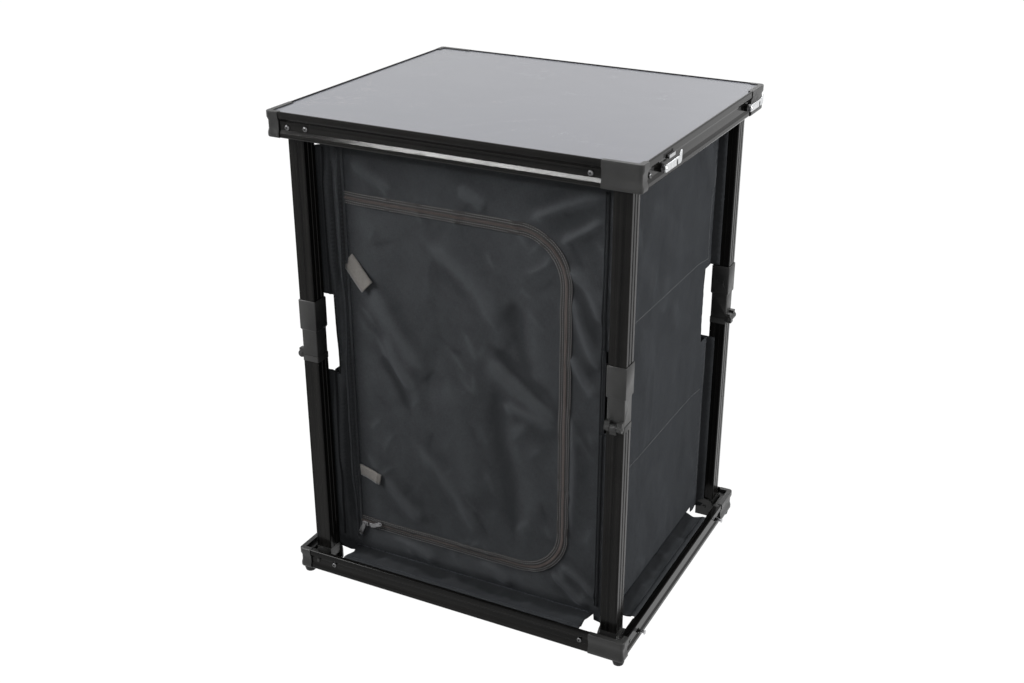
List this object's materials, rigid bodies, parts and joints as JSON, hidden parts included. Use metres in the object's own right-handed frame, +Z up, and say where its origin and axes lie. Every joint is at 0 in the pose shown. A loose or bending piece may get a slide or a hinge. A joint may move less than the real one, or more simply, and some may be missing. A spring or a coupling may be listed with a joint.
{
  "type": "camp kitchen organizer",
  "caption": "Folding camp kitchen cabinet: hard worktop and base frames on square knee-jointed legs, with a zipped fabric cupboard and shelves between them.",
  "frame": {"origin": "centre of the frames' plan, on the floor the feet stand on", "axes": "+X to the right along the front, +Y to the back, +Z up; the door is on the -Y side"},
  "size_m": [0.6087, 0.518, 0.804],
  "materials": {
    "rail": "black anodised, satin",
    "tube": "black anodised, satin",
    "moulding": "fine grain",
    "bright": "polished",
    "worktop": "satin, smooth",
    "rubber": "matte",
    "cloth": "plain weave, coated",
    "tape": "zip tape",
    "zip": "black enamel",
    "board": "fabric-covered board"
  },
  "bodies": {
    "base": {"bottom_rail_front": "rail", "bottom_rail_right": "rail", "bottom_rail_back": "rail", "bottom_rail_left": "rail", "bottom_corner_fl": "moulding", "bottom_corner_fr": "moulding", "bottom_corner_br": "moulding", "bottom_corner_bl": "moulding", "foot_fl": "rubber", "foot_fr": "rubber", "foot_br": "rubber", "foot_bl": "rubber", "floor_board": "board", "front_panel": "cloth", "back_panel": "cloth", "left_panel": "cloth", "right_panel": "cloth", "zipper_tape": "tape"},
    "lower_leg_fl": {"lower_leg_tube_fl": "tube", "lower_leg_plug_fl": "moulding", "knee_knuckle_fl": "moulding"},
    "lower_leg_fr": {"lower_leg_tube_fr": "tube", "lower_leg_plug_fr": "moulding", "knee_knuckle_fr": "moulding"},
    "lower_leg_br": {"lower_leg_tube_br": "tube", "lower_leg_plug_br": "moulding", "knee_knuckle_br": "moulding"},
    "lower_leg_bl": {"lower_leg_tube_bl": "tube", "lower_leg_plug_bl": "moulding", "knee_knuckle_bl": "moulding"},
    "upper_leg_fl": {"knee_socket_fl": "moulding", "upper_leg_tube_fl": "tube", "upper_leg_plug_fl": "moulding"},
    "upper_leg_fr": {"knee_socket_fr": "moulding", "upper_leg_tube_fr": "tube", "upper_leg_plug_fr": "moulding"},
    "upper_leg_br": {"knee_socket_br": "moulding", "upper_leg_tube_br": "tube", "upper_leg_plug_br": "moulding"},
    "upper_leg_bl": {"knee_socket_bl": "moulding", "upper_leg_tube_bl": "tube", "upper_leg_plug_bl": "moulding"},
    "top": {"top_rail_front": "rail", "top_rail_right": "rail", "top_rail_back": "rail", "top_rail_left": "rail", "top_corner_fl": "moulding", "top_corner_fr": "moulding", "top_corner_br": "moulding", "top_corner_bl": "moulding", "top_panel": "worktop"},
    "latch_front": {"latch_hook_front": "bright"},
    "latch_rear": {"latch_hook_rear": "bright"},
    "shelf_lower": {"shelf_lower": "board"},
    "shelf_upper": {"shelf_upper": "board"},
    "door": {"door_panel": "cloth"},
    "zip_end": {"zip_slider_end": "zip"},
    "zip_slider": {"zip_slider": "zip"},
    "zip_pull": {"zip_pull": "zip"}
  },
  "joints": [
    {"name": "fold", "type": "hinge", "parent": "base", "child": "lower_leg_fl", "pos_m": [-0.264, -0.223, 0.0293], "axis": [0, 1, 0], "range_deg": [0, 90], "deforming": ["front_panel", "back_panel", "left_panel", "right_panel", "zipper_tape", "door_panel"]},
    {"name": "foot_pivot_fr", "type": "hinge", "parent": "base", "child": "lower_leg_fr", "pos_m": [0.264, -0.223, 0.0293], "axis": [-1, 0, 0], "range_deg": [0, 90]},
    {"name": "foot_pivot_br", "type": "hinge", "parent": "base", "child": "lower_leg_br", "pos_m": [0.264, 0.223, 0.0293], "axis": [0, -1, 0], "range_deg": [0, 90]},
    {"name": "foot_pivot_bl", "type": "hinge", "parent": "base", "child": "lower_leg_bl", "pos_m": [-0.264, 0.223, 0.0293], "axis": [1, 0, 0], "range_deg": [0, 90]},
    {"name": "knee_fl", "type": "hinge", "parent": "lower_leg_fl", "child": "upper_leg_fl", "pos_m": [-0.282, -0.223, 0.40505], "axis": [0, 1, 0], "range_deg": [-180, 0]},
    {"name": "knee_fr", "type": "hinge", "parent": "lower_leg_fr", "child": "upper_leg_fr", "pos_m": [0.264, -0.241, 0.40505], "axis": [-1, 0, 0], "range_deg": [-180, 0]},
    {"name": "knee_br", "type": "hinge", "parent": "lower_leg_br", "child": "upper_leg_br", "pos_m": [0.282, 0.223, 0.40505], "axis": [0, -1, 0], "range_deg": [-180, 0]},
    {"name": "knee_bl", "type": "hinge", "parent": "lower_leg_bl", "child": "upper_leg_bl", "pos_m": [-0.264, 0.241, 0.40505], "axis": [1, 0, 0], "range_deg": [-180, 0]},
    {"name": "top_pivot_fl", "type": "hinge", "parent": "upper_leg_fl", "child": "top", "pos_m": [-0.264, -0.223, 0.7808], "axis": [0, 1, 0], "range_deg": [0, 90]},
    {"name": "shelf_lower_drop", "type": "slide", "parent": "base", "child": "shelf_lower", "axis": [0, 0, -1], "range_m": [0, 0.22504]},
    {"name": "shelf_upper_rise", "type": "slide", "parent": "top", "child": "shelf_upper", "axis": [0, 0, 1], "range_m": [0, 0.25363]},
    {"name": "zip_end_drop", "type": "slide", "parent": "base", "child": "zip_end", "axis": [0, 0, -1], "range_m": [0, 0.02209]},
    {"name": "door_swing", "type": "hinge", "parent": "base", "child": "door", "pos_m": [-0.2085, -0.198, 0.3815], "axis": [0, 0, -1], "range_deg": [0, 120]},
    {"name": "zip_run", "type": "slide", "parent": "zip_end", "child": "zip_slider", "axis": [1, 0, 0], "range_m": [0, 0.28]},
    {"name": "zip_pull_flip", "type": "hinge", "parent": "zip_slider", "child": "zip_pull", "pos_m": [-0.188, -0.2047, 0.0902], "axis": [0, 0, -1], "range_deg": [0, 174]},
    {"name": "latch_front_turn", "type": "hinge", "parent": "top", "child": "latch_front", "pos_m": [0.3053, -0.19, 0.7831], "axis": [-1, 0, 0], "range_deg": [0, 90]},
    {"name": "latch_rear_turn", "type": "hinge", "parent": "top", "child": "latch_rear", "pos_m": [0.3053, 0.177, 0.7831], "axis": [-1, 0, 0], "range_deg": [0, 90]}
  ],
  "couplings": [
    {"joint": "foot_pivot_fr", "follows": "fold", "ratio": 1},
    {"joint": "foot_pivot_br", "follows": "fold", "ratio": 1},
    {"joint": "foot_pivot_bl", "follows": "fold", "ratio": 1},
    {"joint": "knee_fl", "follows": "fold", "ratio": -2},
    {"joint": "knee_fr", "follows": "fold", "ratio": -2},
    {"joint": "knee_br", "follows": "fold", "ratio": -2},
    {"joint": "knee_bl", "follows": "fold", "ratio": -2},
    {"joint": "top_pivot_fl", "follows": "fold", "ratio": 1},
    {"joint": "shelf_lower_drop", "follows": "fold", "m_per_rad": 0.1432},
    {"joint": "shelf_upper_rise", "follows": "fold", "m_per_rad": 0.1614},
    {"joint": "zip_end_drop", "follows": "fold", "m_per_rad": 0.014}
  ]
}
